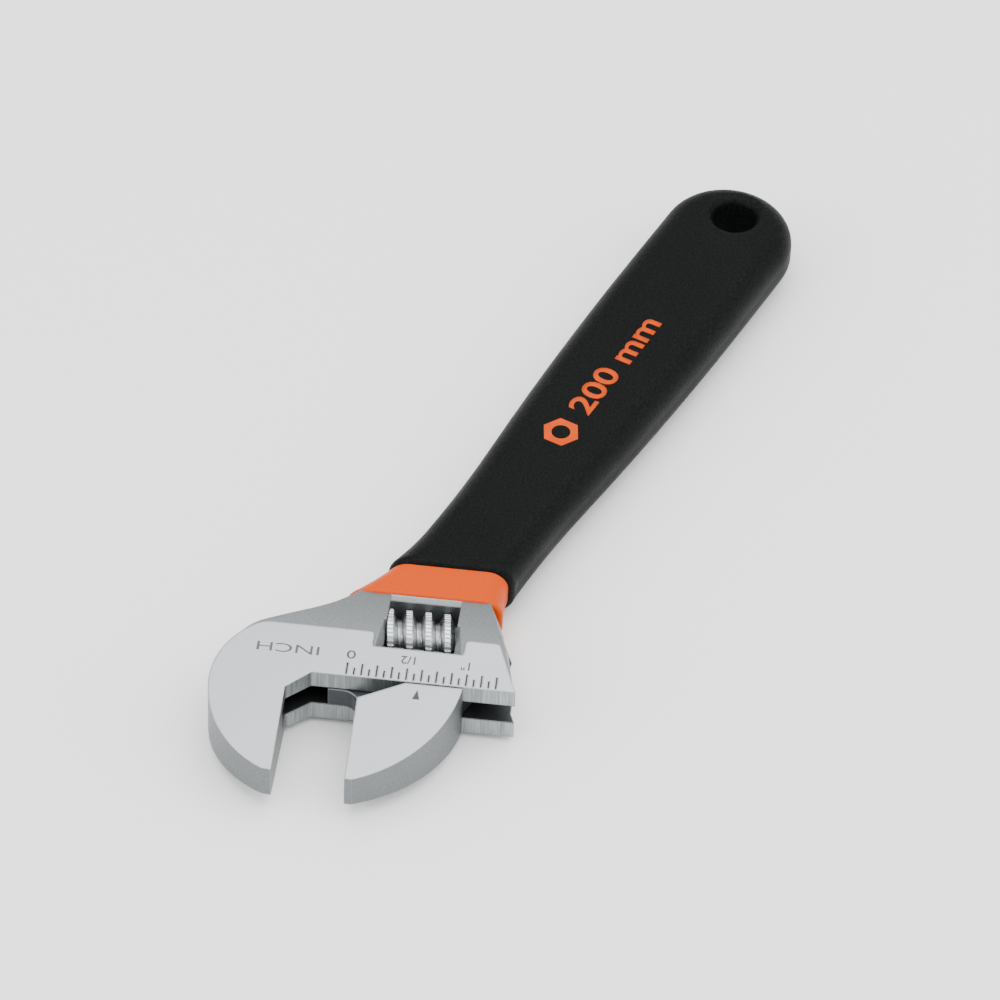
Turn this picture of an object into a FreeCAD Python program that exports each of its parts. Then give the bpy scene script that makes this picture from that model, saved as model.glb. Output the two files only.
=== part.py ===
import FreeCAD, Part

import math
import os

import Sketcher
from FreeCAD import Placement, Rotation, Vector

# An adjustable wrench, nominal 200 mm (8 in), in millimetres.
# The row frame has its origin on the axis of the hanging hole, half way through the handle.
# +X runs along the handle to the head, +Z is the side that carries the opening scale.
# The head has a frame of its own: x across the mouth from the fixed jaw's face,
# y from the front of the head back towards the handle, z as in the row frame.

SIZES = {
    # where the head stands on the handle
    "head_x": 173.81,
    "head_y": -14.70,
    "head_turn": 113.0,
    # thickness of the head: tapered on both sides towards the jaw tips
    "head_half": 7.0,
    "taper_angle": 6.56,
    "stock_half": 9.5,
    "stock_out": 12.0,
    # fixed jaw and the raised, polished faces of the head
    "tip_v": -25.9,
    "tip_back_u": -2.0,
    "tip_back_v": -25.7,
    "cheek_u": -16.3,
    "cheek_v": -3.9,
    "jaw_arc": 24.6,
    "cheek_arc": 17.8,
    "ridge_left_u": -6.7,
    "ridge_v": 12.1,
    "notch_left_u": 16.9,
    "notch_right_u": 36.4,
    "notch_v": 8.3,
    "ridge_right_u": 43.6,
    "corner_u": 48.3,
    "throat_v": -4.4,
    "throat_u": 5.0,
    "notch_corner_r": 0.9,
    "cheek_corner_r": 7.0,
    "well_w": 4.7,
    "well_top_w": 8.6,
    "well_left_u": 16.6,
    "well_right_u": 36.7,
    "well_back_v": 17.0,
    # matt neck under the raised faces, then the forged shank
    "neck_front_w": 6.4,
    "neck_back_v": 36.0,
    "neck_back_w": 2.3,
    "neck_crown": 64.0,
    "neck_draft": 17.0,
    "neck_stock": 8.0,
    "neck_front_x": 154.3,
    "neck_front_y": 29.3,
    "shoulder_front_x": 151.35,
    "shoulder_front_y": 28.05,
    "shoulder_r": 30.0,
    "shoulder_back_x": 142.64,
    "shoulder_back_y": 22.41,
    "neck_right_x": 131.71,
    "neck_right_y": 12.25,
    "neck_right_r": 8.5,
    "neck_end_right_x": 126.0,
    "neck_end_right_y": 10.1,
    "neck_end_left_x": 136.2,
    "neck_end_left_y": -12.5,
    "neck_left_x": 145.89,
    "neck_left_y": -16.08,
    "neck_left_r": 27.0,
    "heel_front_x": 154.06,
    "heel_front_y": -20.86,
    "heel_back_x": 161.92,
    "heel_back_y": -27.54,
    "heel_r": 15.0,
    "heel_top_x": 179.33,
    "heel_top_y": -29.0,
    "neck_cheek_x": 181.0,
    "neck_cheek_y": -28.0,
    "shank_half": 4.0,
    "shank_front_x": 140.0,
    "shank_front_y": 9.1,
    "shank_end_x": 3.8,
    "shank_end_r": 12.0,
    "shank_hole_r": 6.4,
    "recess_depth": 1.6,
    "recess_front_x": 122.0,
    "recess_back_x": 24.0,
    "recess_half": 5.6,
    # slot and round channel for the movable jaw, and the worm's window
    "slot_width": 5.2,
    "slot_end_u": -7.3,
    "slot_lip_v": -0.7,
    "slot_lip_u": -3.9,
    "slot_root_u": -0.6,
    "slot_root_v": -4.8,
    "slot_mouth_u": 0.6,
    "slot_front_v": -12.0,
    "slot_out_u": 60.0,
    "shank_far": 230.0,
    "rack_v": 9.8,
    "channel_r": 4.8,
    "window_left_u": 18.8,
    "window_right_u": 34.0,
    "window_back_v": 24.9,
    "window_bevel": 1.0,
    "pin_hole_end_u": 11.6,
    "pin_seat_u": 39.4,
    "pin_seat_r": 3.0,
    "pin_hole_r": 1.8,
    # opening scale, cut into the raised face: 1/8 in long marks, 1/16 in short marks
    "tick_first_u": 12.3,
    "tick_pitch": 3.175,
    "tick_count": 11,
    "tick_half": 0.16,
    "tick_front_v": 0.35,
    "tick_long_v": 3.4,
    "tick_short_v": 2.2,
    "tick_half_pitch": 1.5875,
    "tick_short_count": 10,
    "tick_depth": 0.22,
    # movable jaw, drawn from its own face
    "opening": 15.45,
    "jaw_tip_v": -26.3,
    "jaw_tip_back_u": 1.6,
    "jaw_back_u": 21.75,
    "jaw_back_v": -0.4,
    "jaw_back_arc": 33.0,
    "jaw_root_v": -5.4,
    "jaw_shelf_u": 9.6,
    "web_thick": 4.8,
    "web_front_v": -0.2,
    "web_fillet": 3.8,
    "web_left_u": -6.9,
    "web_right_u": 26.2,
    "web_foot_u": 21.0,
    "web_root_u": 18.5,
    "rack_r": 4.5,
    "rack_left_u": -6.0,
    "rack_long": 33.0,
    "groove_first_u": -7.24,
    "groove_root_v": 11.95,
    "groove_root_half": 0.95,
    "groove_tip_half": 1.62,
    "groove_out_v": 15.0,
    "groove_count": 9,
    "groove_tilt": 6.7,
    # worm: one thread, its crest later knurled
    "lead": 4.1,
    "worm_v": 18.6,
    "worm_u": 26.4,
    "worm_long": 15.0,
    "worm_half": 7.5,
    "worm_r": 6.2,
    "worm_root_r": 4.0,
    "worm_groove_u": -9.99,
    "worm_groove_root_half": 0.72,
    "worm_groove_tip_half": 1.42,
    "worm_groove_out_r": 6.8,
    "worm_groove_turns": 5.0,
    "worm_bore_r": 1.8,
    "worm_well_r": 3.3,
    "worm_well_deep": 5.0,
    # worm pin and spring
    "pin_r": 1.74,
    "pin_left_u": 12.0,
    "pin_head_r": 2.9,
    "pin_head_long": 1.8,
    "pin_slot_wide": 0.8,
    "pin_slot_deep": 0.9,
    "spring_u": 29.5,
    "spring_r": 2.5,
    "wire_r": 0.33,
    "spring_pitch": 1.3,
    "spring_long": 4.1,
    # black grip over an orange sleeve
    "grip_half": 7.0,
    "grip_wall": 1.2,
    "grip_round": 5.6,
    "sleeve_round": 4.4,
    "grip_end_x": 3.8,
    "grip_end_r": 15.05,
    "grip_wide_x": 22.0,
    "grip_side_arc": 1000.0,
    "grip_turn_x": 92.0,
    "grip_turn_y": 12.60,
    "grip_waist_arc": 306.0,
    "grip_flare_x": 121.5,
    "grip_flare_y": 11.96,
    "grip_left_x": 150.0,
    "grip_left_y": -20.6,
    "grip_right_x": 136.0,
    "grip_right_y": 18.1,
    "grip_left_hollow": 60.0,
    "grip_right_hollow": 24.5,
    "grip_collar_v": 34.9,
    "sleeve_collar_v": 26.1,
    "collar_front_v": -5.0,
    "collar_reach_u": 70.0,
    "sleeve_half": 6.0,
    "outer_form_end_r": 15.05,
    "inner_form_end_r": 13.85,
    "collar_round": 1.6,
    "sleeve_collar_round": 0.7,
    "sleeve_hole_r": 5.7,
    "hang_hole_r": 5.0,
    "hang_rim": 2.0,
}

doc = FreeCAD.newDocument("adjustable_wrench")
sheet = doc.addObject("Spreadsheet::Sheet", "sizes")
for row, (alias, number) in enumerate(SIZES.items(), start=1):
    sheet.set("A%d" % row, alias)
    sheet.set("B%d" % row, str(number))
    sheet.setAlias("B%d" % row, alias)
doc.recompute()


def worked(text):
    """The number and the sheet expression for a sum of sizes, such as 'grip_half - grip_wall'."""
    total = 0.0
    sign = 1.0
    terms = []
    for word in text.split():
        if word in "+-":
            sign = 1.0 if word == "+" else -1.0
            terms.append(word)
        else:
            total += sign * SIZES[word]
            terms.append("sizes." + word)
    return total, " ".join(terms)


def bind(feature, prop, text):
    feature.setExpression(prop, worked(text)[1])


def bodies_origin(body, role):
    """The plane or axis of a body's own origin that has this role."""
    for part in body.Origin.OriginFeatures:
        if part.Role == role:
            return part
    raise RuntimeError("no " + role)


def new_body(name, across=None, back=None):
    """A body standing in the head's frame, moved across and back from the head's corner."""
    body = doc.addObject("PartDesign::Body", name)
    body.Label = name
    body.Placement = Placement(Vector(), Rotation(Vector(0, 0, 1), 1))
    turn = "(sizes.head_turn * 1deg)"
    u_text = worked(across)[1] if across else "0"
    v_text = worked(back)[1] if back else "0"
    reach_x = "sizes.head_x + (%s) * cos%s - (%s) * sin%s" % (u_text, turn, v_text, turn)
    reach_y = "sizes.head_y + (%s) * sin%s + (%s) * cos%s" % (u_text, turn, v_text, turn)
    body.setExpression("Placement.Base.x", reach_x)
    body.setExpression("Placement.Base.y", reach_y)
    body.setExpression("Placement.Rotation.Angle", turn)
    return body


def new_sketch(body, name, plane, along=None):
    """A sketch on one of the body's origin planes, moved along its normal by a size."""
    sketch = body.newObject("Sketcher::SketchObject", name)
    sketch.AttachmentSupport = [(bodies_origin(body, plane), "")]
    sketch.MapMode = "FlatFace"
    if along:
        bind(sketch, "AttachmentOffset.Base.z", along)
    return sketch


def on_handle(sketch):
    """Turns a sketch of a head body into the row frame, where the handle runs along x."""
    turn = "(sizes.head_turn * 1deg)"
    sketch.AttachmentOffset = Placement(Vector(), Rotation(Vector(0, 0, 1), -1))
    sketch.setExpression("AttachmentOffset.Rotation.Angle", "-" + turn)
    back_x = "-(sizes.head_x * cos%s + sizes.head_y * sin%s)" % (turn, turn)
    back_y = "sizes.head_x * sin%s - sizes.head_y * cos%s" % (turn, turn)
    sketch.setExpression("AttachmentOffset.Base.x", back_x)
    sketch.setExpression("AttachmentOffset.Base.y", back_y)


def on_face(sketch, side):
    """Lays a sketch of the head's frame on the tapered top (side 1) or bottom (side -1) face."""
    sketch.AttachmentOffset = Placement(Vector(0, 0, 1), Rotation(Vector(1, 0, 0), side))
    sketch.setExpression("AttachmentOffset.Rotation.Angle", "sizes.taper_angle * 1deg")
    bind(sketch, "AttachmentOffset.Base.z", "head_half")


def locate(sketch, geometry, end, across, up):
    """Fixes one end of a piece of geometry at sizes measured from the sketch's origin."""
    for kind, axis, text in (("DistanceX", -2, across), ("DistanceY", -1, up)):
        if text is None:
            sketch.addConstraint(Sketcher.Constraint("PointOnObject", geometry, end, axis))
            continue
        number, formula = worked(text)
        index = sketch.addConstraint(Sketcher.Constraint(kind, -1, 1, geometry, end, number))
        sketch.setExpression("Constraints[%d]" % index, formula)


def point(across, up):
    return Vector(worked(across)[0] if across else 0.0, worked(up)[0] if up else 0.0, 0)


def arc_between(start, end, radius, turn):
    """The shorter arc from start to end; turn 1 is counter-clockwise and -1 clockwise."""
    chord = end - start
    middle = (start + end) * 0.5
    rise = math.sqrt(max(0.0, radius * radius - chord.Length * chord.Length / 4))
    normal = Vector(-chord.y, chord.x, 0).normalize()
    centre = middle + normal * (rise * turn)
    first, last = (start, end) if turn > 0 else (end, start)
    first_angle = math.atan2(first.y - centre.y, first.x - centre.x)
    last_angle = math.atan2(last.y - centre.y, last.x - centre.x)
    return Part.ArcOfCircle(Part.Circle(centre, Vector(0, 0, 1), radius), first_angle, last_angle)


def outline(sketch, corners):
    """A closed outline. A corner is (across, up), or (across, up, radius, turn) for an arc from it."""
    count = len(corners)
    placed = []
    for index, corner in enumerate(corners):
        following = corners[(index + 1) % count]
        start = point(corner[0], corner[1])
        end = point(following[0], following[1])
        if len(corner) == 2:
            geometry = sketch.addGeometry(Part.LineSegment(start, end))
            placed.append((geometry, 1, 2))
        else:
            geometry = sketch.addGeometry(arc_between(start, end, SIZES[corner[2]], corner[3]))
            placed.append((geometry, 1, 2) if corner[3] > 0 else (geometry, 2, 1))
    for index, corner in enumerate(corners):
        geometry, first, last = placed[index]
        after, after_first, after_last = placed[(index + 1) % count]
        sketch.addConstraint(Sketcher.Constraint("Coincident", geometry, last, after, after_first))
        locate(sketch, geometry, first, corner[0], corner[1])
        if len(corner) == 4:
            radius = sketch.addConstraint(Sketcher.Constraint("Radius", geometry, SIZES[corner[2]]))
            sketch.setExpression("Constraints[%d]" % radius, "sizes." + corner[2])


def ring(sketch, radius, across=None, up=None):
    """A circle of a size's radius."""
    shape = Part.Circle(point(across, up), Vector(0, 0, 1), SIZES[radius])
    geometry = sketch.addGeometry(shape)
    locate(sketch, geometry, 3, across, up)
    index = sketch.addConstraint(Sketcher.Constraint("Radius", geometry, SIZES[radius]))
    sketch.setExpression("Constraints[%d]" % index, "sizes." + radius)


def extrude(body, kind, name, sketch, length, midplane=False, backwards=False):
    """A Pad or Pocket of the body; a pocket that removes nothing is an error."""
    before = body.Shape.Volume if kind == "PartDesign::Pocket" else 0.0
    feature = body.newObject(kind, name)
    feature.Profile = sketch
    feature.Midplane = midplane
    feature.Reversed = backwards
    bind(feature, "Length", length)
    body.Tip = feature
    doc.recompute()
    if kind == "PartDesign::Pocket" and body.Shape.Volume > before - 1e-4:
        raise RuntimeError(name + " removes nothing")
    return feature


def pick_edges(body, wanted):
    """Names of the edges of the body's shape whose middle, in the body's own frame, is wanted."""
    back = body.Placement.inverse()
    names = []
    for index, edge in enumerate(body.Shape.Edges, start=1):
        middle = edge.valueAt((edge.FirstParameter + edge.LastParameter) / 2)
        if wanted(back.multVec(middle), edge):
            names.append("Edge%d" % index)
    if not names:
        raise RuntimeError("no edge of " + body.Label + " is wanted")
    return names


def dress(body, kind, name, names, size):
    """A Fillet or Chamfer on named edges of the body's tip."""
    base = body.Tip
    feature = body.newObject(kind, name)
    feature.Base = (base, names)
    bind(feature, "Radius" if kind == "PartDesign::Fillet" else "Size", size)
    body.Tip = feature
    doc.recompute()
    return feature


def repeat(body, name, feature, sketch, pitch, count):
    """Repeats a feature along its sketch's x axis."""
    pattern = body.newObject("PartDesign::LinearPattern", name)
    pattern.Originals = [feature]
    pattern.Direction = (sketch, ["H_Axis"])
    pattern.Mode = "Spacing"
    bind(pattern, "Offset", pitch)
    bind(pattern, "Occurrences", count)
    body.Tip = pattern
    doc.recompute()
    return pattern


def taper(body, reach):
    """Takes both tapered faces off a body of the head."""
    for side, name in ((1, "top"), (-1, "bottom")):
        sketch = new_sketch(body, body.Name + "_taper_" + name, "YZ_Plane")
        number = SIZES["head_half"] * side
        rise = math.tan(math.radians(SIZES["taper_angle"])) * side
        far = 40.0
        low = (-far, number - far * rise)
        high = (far, number + far * rise)
        corners = [low, high, (far, side * far), (-far, side * far)]
        for index in range(4):
            start = corners[index]
            end = corners[(index + 1) % 4]
            sketch.addGeometry(Part.LineSegment(Vector(*start, 0), Vector(*end, 0)))
        for index in range(4):
            sketch.addConstraint(Sketcher.Constraint("Coincident", index, 2, (index + 1) % 4, 1))
        sketch.addConstraint(Sketcher.Constraint("Vertical", 1))
        sketch.addConstraint(Sketcher.Constraint("Vertical", 3))
        sketch.addConstraint(Sketcher.Constraint("Horizontal", 2))
        sketch.addConstraint(Sketcher.Constraint("DistanceX", -1, 1, 0, 2, far))
        sketch.addConstraint(Sketcher.Constraint("DistanceX", 0, 1, -1, 1, far))
        sketch.addConstraint(Sketcher.Constraint("DistanceY", -1, 1, 1, 2, side * far))
        mark = sketch.addGeometry(Part.Point(Vector(0, number, 0)), True)
        sketch.addConstraint(Sketcher.Constraint("PointOnObject", mark, 1, -2))
        sketch.addConstraint(Sketcher.Constraint("PointOnObject", mark, 1, 0))
        height = sketch.addConstraint(Sketcher.Constraint("DistanceY", -1, 1, mark, 1, number))
        sketch.setExpression("Constraints[%d]" % height, ("" if side > 0 else "-") + "sizes.head_half")
        slope = sketch.addConstraint(Sketcher.Constraint("Angle", -1, 0, math.atan(rise)))
        sketch.setExpression("Constraints[%d]" % slope, ("" if side > 0 else "-") + "sizes.taper_angle * 1deg")
        extrude(body, "PartDesign::Pocket", body.Name + "_face_" + name, sketch, reach, midplane=True)


# ---- frame_body: one forging with the fixed jaw, the head, the neck and the shank ----
frame = new_body("frame_body")

# neck, drawn at the middle plane, with the forging's draft on both sides of it
for side, backwards in (("top", False), ("bottom", True)):
    neck = new_sketch(frame, "neck_outline_" + side, "XY_Plane")
    on_handle(neck)
    outline(neck, [
        ("neck_front_x", "neck_front_y"),
        ("shoulder_front_x", "shoulder_front_y", "shoulder_r", 1),
        ("shoulder_back_x", "shoulder_back_y"),
        ("neck_right_x", "neck_right_y", "neck_right_r", -1),
        ("neck_end_right_x", "neck_end_right_y"),
        ("neck_end_left_x", "neck_end_left_y"),
        ("neck_left_x", "neck_left_y", "neck_left_r", -1),
        ("heel_front_x", "heel_front_y"),
        ("heel_back_x", "heel_back_y", "heel_r", 1),
        ("heel_top_x", "heel_top_y"),
        ("neck_cheek_x", "neck_cheek_y"),
    ])
    half = extrude(frame, "PartDesign::Pad", "neck_pad_" + side, neck, "neck_stock", backwards=backwards)
    half.setExpression("TaperAngle", "-sizes.neck_draft")
    doc.recompute()

# its thickness is crowned: highest under the ridge, thin where it goes into the grip
for side, sign, turn in (("top", "", -1), ("bottom", "- ", 1)):
    profile = new_sketch(frame, "crown_" + side, "YZ_Plane")
    outline(profile, [
        ("slot_front_v", sign + "neck_front_w"),
        (None, sign + "neck_front_w", "neck_crown", turn),
        ("neck_back_v", sign + "neck_back_w"),
        ("slot_out_u", sign + "neck_back_w"),
        ("slot_out_u", sign + "stock_out"),
        ("slot_front_v", sign + "stock_out"),
    ])
    extrude(frame, "PartDesign::Pocket", "crown_cut_" + side, profile, "shank_far", midplane=True)


# shank inside the grip
shank = new_sketch(frame, "shank_outline", "XY_Plane")
on_handle(shank)
outline(shank, [
    ("shank_front_x", "shank_front_y"),
    ("grip_wide_x", "shank_end_r"),
    ("shank_end_x", "shank_end_r", "shank_end_r", 1),
    ("shank_end_x - shank_end_r", None, "shank_end_r", 1),
    ("shank_end_x", "- shank_end_r"),
    ("grip_wide_x", "- shank_end_r"),
    ("shank_front_x", "- shank_front_y"),
])
extrude(frame, "PartDesign::Pad", "shank_pad", shank, "shank_half + shank_half", midplane=True)

# fixed jaw and raised faces, with the notch that leaves the worm clear
raised = new_sketch(frame, "raised_outline", "XY_Plane")
outline(raised, [
    (None, "tip_v"),
    (None, "throat_v"),
    ("throat_u", None),
    ("corner_u", None),
    ("ridge_right_u", "ridge_v"),
    ("notch_right_u", "ridge_v"),
    ("notch_right_u", "notch_v"),
    ("notch_left_u", "notch_v"),
    ("notch_left_u", "ridge_v"),
    ("ridge_left_u", "ridge_v", "cheek_arc", 1),
    ("cheek_u", "cheek_v", "jaw_arc", 1),
    ("tip_back_u", "tip_back_v"),
])
extrude(frame, "PartDesign::Pad", "raised_faces", raised, "stock_half + stock_half", midplane=True)
taper(frame, "shank_far")


def cheek_corner(middle, edge):
    """Upright corners of the raised faces that the forging leaves rounded."""
    upright = abs(edge.tangentAt(edge.FirstParameter).z) > 0.99
    back_left = abs(middle.x - SIZES["ridge_left_u"]) < 0.1 and abs(middle.y - SIZES["ridge_v"]) < 0.1
    return upright and back_left


def notch_corner(middle, edge):
    """Upright corners at the notch and at the right of the raised faces."""
    upright = abs(edge.tangentAt(edge.FirstParameter).z) > 0.99
    back = abs(middle.y - SIZES["ridge_v"]) < 0.1 or abs(middle.y - SIZES["notch_v"]) < 0.1
    return upright and back and middle.x > 0 and abs(middle.z) > 3


dress(frame, "PartDesign::Fillet", "cheek_corners", pick_edges(frame, cheek_corner), "cheek_corner_r")
dress(frame, "PartDesign::Fillet", "notch_corners", pick_edges(frame, notch_corner), "notch_corner_r")

# slot for the jaw's web, open to the right and into the throat
slot = new_sketch(frame, "slot_outline", "XY_Plane")
outline(slot, [
    ("slot_out_u", "slot_front_v"),
    ("slot_out_u", "rack_v"),
    ("slot_end_u", "rack_v"),
    ("slot_end_u", "slot_lip_v"),
    ("slot_lip_u", "slot_lip_v"),
    ("slot_root_u", "slot_root_v"),
    ("slot_mouth_u", "slot_front_v"),
])
extrude(frame, "PartDesign::Pocket", "slot", slot, "slot_width", midplane=True)

# round channel for the rack, bored from the right
channel = new_sketch(frame, "channel_circle", "YZ_Plane", "slot_end_u")
ring(channel, "channel_r", "rack_v")
extrude(frame, "PartDesign::Pocket", "channel", channel, "slot_out_u + slot_out_u", backwards=True)

# window for the worm, right through, with sloping sides under the raised faces
window = new_sketch(frame, "window_outline", "XY_Plane")
outline(window, [
    ("window_left_u", "rack_v"),
    ("window_right_u", "rack_v"),
    ("window_right_u", "window_back_v"),
    ("window_left_u", "window_back_v"),
])
extrude(frame, "PartDesign::Pocket", "window", window, "stock_half + stock_half", midplane=True)

for side, sign in (("top", ""), ("bottom", "- ")):
    floor = new_sketch(frame, "well_floor_" + side, "XY_Plane", sign + "well_w")
    outline(floor, [
        ("window_left_u", "notch_v"),
        ("window_right_u", "notch_v"),
        ("window_right_u", "well_back_v"),
        ("window_left_u", "well_back_v"),
    ])
    mouth = new_sketch(frame, "well_mouth_" + side, "XY_Plane", sign + "well_top_w")
    outline(mouth, [
        ("well_left_u", "notch_v"),
        ("well_right_u", "notch_v"),
        ("window_right_u + pin_slot_wide", "well_back_v + pin_slot_wide"),
        ("window_left_u - pin_slot_wide", "well_back_v + pin_slot_wide"),
    ])
    before = frame.Shape.Volume
    well = frame.newObject("PartDesign::SubtractiveLoft", "well_" + side)
    well.Profile = floor
    well.Sections = [mouth]
    well.Ruled = True
    frame.Tip = well
    doc.recompute()
    if frame.Shape.Volume > before - 1e-4:
        raise RuntimeError("the well removes nothing")


def window_rim(middle, edge):
    """Upper and lower edges of the window's back wall."""
    back = abs(middle.y - SIZES["window_back_v"]) < 0.05 and abs(middle.z) > 4
    return back and abs(edge.tangentAt(edge.FirstParameter).z) < 0.01


dress(frame, "PartDesign::Chamfer", "window_bevel", pick_edges(frame, window_rim), "window_bevel")

# hole for the worm's pin: blind on the left, with a seat for its head on the right
pin_hole = new_sketch(frame, "pin_hole_circle", "YZ_Plane", "pin_hole_end_u")
ring(pin_hole, "pin_hole_r", "worm_v")
extrude(frame, "PartDesign::Pocket", "pin_hole", pin_hole, "slot_out_u", backwards=True)
pin_seat = new_sketch(frame, "pin_seat_circle", "YZ_Plane", "pin_seat_u")
ring(pin_seat, "pin_seat_r", "worm_v")
extrude(frame, "PartDesign::Pocket", "pin_seat", pin_seat, "slot_out_u", backwards=True)

# opening scale
for length_name, first, last, count in (
    ("long", "tick_first_u", "tick_long_v", "tick_count"),
    ("short", "tick_first_u + tick_half_pitch", "tick_short_v", "tick_short_count"),
):
    mark = new_sketch(frame, "tick_" + length_name, "XY_Plane")
    on_face(mark, 1)
    outline(mark, [
        (first + " - tick_half", "tick_front_v"),
        (first + " + tick_half", "tick_front_v"),
        (first + " + tick_half", last),
        (first + " - tick_half", last),
    ])
    cut = extrude(frame, "PartDesign::Pocket", "tick_cut_" + length_name, mark, "tick_depth")
    repeat(frame, "scale_" + length_name, cut, mark, "tick_pitch", count)

# hole at the end of the shank, and the hollow on each side that makes it an I in section
shank_hole = new_sketch(frame, "shank_hole_circle", "XY_Plane")
on_handle(shank_hole)
ring(shank_hole, "shank_hole_r")
extrude(frame, "PartDesign::Pocket", "shank_hole", shank_hole, "stock_half + stock_half", midplane=True)
for side, sign, backwards in (("top", "", False), ("bottom", "- ", True)):
    hollow = new_sketch(frame, "hollow_" + side, "XY_Plane")
    on_handle(hollow)
    bind(hollow, "AttachmentOffset.Base.z", sign + "shank_half")
    outline(hollow, [
        ("recess_front_x", "- recess_half"),
        ("recess_front_x", "recess_half"),
        ("recess_back_x", "recess_half"),
        ("recess_back_x", "- recess_half"),
    ])
    extrude(frame, "PartDesign::Pocket", "hollow_cut_" + side, hollow, "recess_depth", backwards=backwards)

# ---- movable_jaw: the jaw, its web and its rack are one forging ----
jaw = new_body("movable_jaw", across="opening")
jaw_block = new_sketch(jaw, "jaw_outline", "XY_Plane")
outline(jaw_block, [
    (None, "jaw_tip_v"),
    ("jaw_tip_back_u", "jaw_tip_v", "jaw_back_arc", 1),
    ("jaw_back_u", "jaw_back_v"),
    ("jaw_shelf_u", "jaw_back_v"),
    (None, "jaw_root_v"),
])
extrude(jaw, "PartDesign::Pad", "jaw_block", jaw_block, "stock_half + stock_half", midplane=True)
taper(jaw, "shank_far")

web = new_sketch(jaw, "web_outline", "XY_Plane")
outline(web, [
    (None, "- web_fillet + web_front_v", "web_fillet", 1),
    ("- web_fillet", "web_front_v"),
    ("web_left_u", "web_front_v"),
    ("web_left_u", "rack_v"),
    ("web_right_u", "rack_v"),
    ("web_foot_u", "web_front_v"),
    ("web_root_u", "jaw_root_v"),
    (None, "jaw_root_v"),
])
extrude(jaw, "PartDesign::Pad", "web", web, "web_thick", midplane=True)

bar = new_sketch(jaw, "bar_circle", "YZ_Plane", "rack_left_u")
ring(bar, "rack_r", "rack_v")
extrude(jaw, "PartDesign::Pad", "rack_bar", bar, "rack_long")

# rack teeth: straight grooves, tilted to lie along the worm's thread
groove = new_sketch(jaw, "groove_profile", "XY_Plane")
groove.AttachmentOffset = Placement(Vector(), Rotation(Vector(0, 1, 0), -1))
groove.setExpression("AttachmentOffset.Rotation.Angle", "-sizes.groove_tilt * 1deg")
outline(groove, [
    ("groove_first_u - groove_root_half", "groove_root_v"),
    ("groove_first_u + groove_root_half", "groove_root_v"),
    ("groove_first_u + groove_tip_half", "groove_out_v"),
    ("groove_first_u - groove_tip_half", "groove_out_v"),
])
groove_cut = extrude(
    jaw, "PartDesign::Pocket", "rack_groove", groove, "stock_half + stock_half", midplane=True
)
repeat(jaw, "rack_grooves", groove_cut, groove, "lead", "groove_count")

# ---- adjusting_worm: one thread cut round a barrel, bored for its pin ----
worm = new_body("adjusting_worm", across="worm_u", back="worm_v")
barrel = new_sketch(worm, "barrel_circle", "YZ_Plane")
ring(barrel, "worm_r")
extrude(worm, "PartDesign::Pad", "barrel", barrel, "worm_long", midplane=True)
thread = new_sketch(worm, "thread_profile", "XY_Plane")
outline(thread, [
    ("worm_groove_u - worm_groove_root_half", "worm_root_r"),
    ("worm_groove_u + worm_groove_root_half", "worm_root_r"),
    ("worm_groove_u + worm_groove_tip_half", "worm_groove_out_r"),
    ("worm_groove_u - worm_groove_tip_half", "worm_groove_out_r"),
])
turns = worm.newObject("PartDesign::SubtractiveHelix", "thread")
turns.Profile = thread
turns.ReferenceAxis = (bodies_origin(worm, "X_Axis"), [""])
turns.Mode = 1
bind(turns, "Pitch", "lead")
bind(turns, "Turns", "worm_groove_turns")
worm.Tip = turns
doc.recompute()
bore = new_sketch(worm, "bore_circle", "YZ_Plane")
ring(bore, "worm_bore_r")
extrude(worm, "PartDesign::Pocket", "bore", bore, "worm_long + worm_long", midplane=True)
spring_well = new_sketch(worm, "spring_well_circle", "YZ_Plane", "worm_half - worm_well_deep")
ring(spring_well, "worm_well_r")
extrude(worm, "PartDesign::Pocket", "spring_well", spring_well, "worm_long", backwards=True)

# ---- worm_pin: a plain pin with a slotted head, on which the worm turns ----
pin = new_body("worm_pin", back="worm_v")
pin_rod = new_sketch(pin, "pin_circle", "YZ_Plane", "pin_left_u")
ring(pin_rod, "pin_r")
extrude(pin, "PartDesign::Pad", "pin_rod", pin_rod, "pin_seat_u - pin_left_u + pin_head_long")
pin_head = new_sketch(pin, "pin_head_circle", "YZ_Plane", "pin_seat_u")
ring(pin_head, "pin_head_r")
extrude(pin, "PartDesign::Pad", "pin_head", pin_head, "pin_head_long")
pin_slot = new_sketch(pin, "pin_slot_outline", "XY_Plane")
outline(pin_slot, [
    ("pin_seat_u + pin_head_long - pin_slot_deep", "- worm_r"),
    ("pin_seat_u + pin_head_long + pin_slot_deep", "- worm_r"),
    ("pin_seat_u + pin_head_long + pin_slot_deep", "worm_r"),
    ("pin_seat_u + pin_head_long - pin_slot_deep", "worm_r"),
])
extrude(pin, "PartDesign::Pocket", "pin_slot", pin_slot, "pin_slot_wide", midplane=True)

# ---- worm_spring: a short coil round the pin, in the worm's well ----
spring = new_body("worm_spring", across="spring_u", back="worm_v")
wire = new_sketch(spring, "wire_circle", "XY_Plane")
ring(wire, "wire_r", None, "spring_r")
coil = spring.newObject("PartDesign::AdditiveHelix", "coil")
coil.Profile = wire
coil.ReferenceAxis = (bodies_origin(spring, "X_Axis"), [""])
coil.Mode = 0
bind(coil, "Pitch", "spring_pitch")
bind(coil, "Height", "spring_long")
spring.Tip = coil
doc.recompute()

# ---- the two layers of the grip, each a form with the next layer in taken out of it ----


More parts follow.
